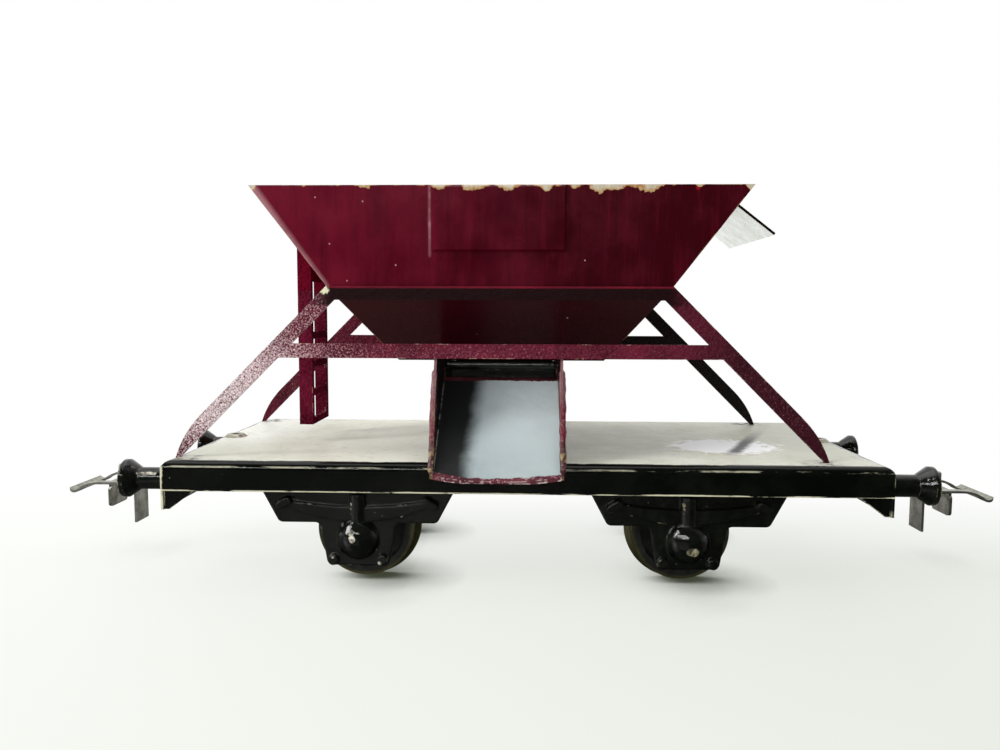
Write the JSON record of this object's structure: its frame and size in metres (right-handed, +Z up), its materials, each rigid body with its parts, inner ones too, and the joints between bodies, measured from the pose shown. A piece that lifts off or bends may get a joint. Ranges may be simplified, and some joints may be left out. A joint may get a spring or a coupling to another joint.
{
  "type": "toy hopper wagon",
  "caption": "Four-wheel tinplate hopper wagon for toy track, with side chutes, hinged discharge doors, buffers and hook-and-loop couplings.",
  "frame": {"origin": "on the floor under the middle of the platform, where the wheel flanges stand", "axes": "+X along the wagon, away from the ladder end; -Y is the front; +Z up"},
  "size_m": [0.1994, 0.068, 0.0776],
  "materials": {
    "chassis_enamel": "gloss black enamel on tinplate, worn bright on the folds; the deck is sprayed warm grey",
    "buffer_enamel": "gloss black enamel on turned metal",
    "wheel_iron": "blackened casting, tread worn to a brownish metal",
    "drawn_steel": "drawn steel wire and rod",
    "coupling_strip": "dull tinned steel strip, stamped",
    "rivet_metal": "rolled hollow rivet, dull",
    "maroon_enamel": "gloss maroon enamel on tinplate, chipped at the rim",
    "maroon_crackle": "thick brushed maroon enamel with a pebbled skin",
    "chute_grey": "blue-grey enamel on tinplate",
    "tinned_sheet": "bare tinned sheet, spotted"
  },
  "bodies": {
    "wagon": {"platform": "chassis_enamel", "axle_bracket_left": "chassis_enamel", "axle_bracket_right": "chassis_enamel", "buffer_left_front": "buffer_enamel", "buffer_left_rear": "buffer_enamel", "buffer_right_front": "buffer_enamel", "buffer_right_rear": "buffer_enamel", "coupler_pin_left": "rivet_metal", "coupler_pin_right": "rivet_metal", "hopper_side_front": "maroon_enamel", "hopper_side_rear": "maroon_enamel", "hopper_ends": "maroon_enamel", "side_frame_front": "maroon_crackle", "side_frame_rear": "maroon_crackle", "chute_floor": "chute_grey", "chute_wall_left": "maroon_enamel", "chute_wall_right": "maroon_enamel", "door_rod_front": "drawn_steel", "door_rod_rear": "drawn_steel", "ladder": "maroon_crackle", "end_plate": "tinned_sheet"},
    "wheelset_left": {"axle_left": "drawn_steel", "wheel_left_front": "wheel_iron", "wheel_left_rear": "wheel_iron"},
    "wheelset_right": {"axle_right": "drawn_steel", "wheel_right_front": "wheel_iron", "wheel_right_rear": "wheel_iron"},
    "drawbar_left": {"drawbar_left": "coupling_strip"},
    "loop_left": {"coupling_loop_left": "coupling_strip"},
    "drawbar_right": {"drawbar_right": "coupling_strip"},
    "loop_right": {"coupling_loop_right": "coupling_strip"},
    "discharge_door_front": {"door_front": "maroon_enamel"},
    "discharge_door_rear": {"door_rear": "maroon_enamel"}
  },
  "joints": [
    {"name": "wheelset_left_spin", "type": "hinge", "parent": "wagon", "child": "wheelset_left", "pos_m": [-0.0314, 0, 0.01065], "axis": [0, 1, 0], "continuous": true},
    {"name": "wheelset_right_spin", "type": "hinge", "parent": "wagon", "child": "wheelset_right", "pos_m": [0.0314, 0, 0.01065], "axis": [0, 1, 0], "continuous": true},
    {"name": "drawbar_left_swing", "type": "hinge", "parent": "wagon", "child": "drawbar_left", "pos_m": [-0.0645, 0, 0.0157], "axis": [0, 0, 1], "range_deg": [-10, 10]},
    {"name": "loop_left_lift", "type": "hinge", "parent": "drawbar_left", "child": "loop_left", "pos_m": [-0.08635, 0, 0.0161], "axis": [0, 1, 0], "range_deg": [0, 25]},
    {"name": "drawbar_right_swing", "type": "hinge", "parent": "wagon", "child": "drawbar_right", "pos_m": [0.0645, 0, 0.0157], "axis": [0, 0, 1], "range_deg": [-10, 10]},
    {"name": "loop_right_lift", "type": "hinge", "parent": "drawbar_right", "child": "loop_right", "pos_m": [0.08635, 0, 0.0161], "axis": [0, -1, 0], "range_deg": [0, 25]},
    {"name": "door_front_hinge", "type": "hinge", "parent": "wagon", "child": "discharge_door_front", "pos_m": [-0.0046, -0.0121, 0.0431], "axis": [-1, 0, 0], "range_deg": [0, 60]},
    {"name": "door_rear_hinge", "type": "hinge", "parent": "wagon", "child": "discharge_door_rear", "pos_m": [-0.0046, 0.0121, 0.0431], "axis": [1, 0, 0], "range_deg": [0, 60]}
  ]
}
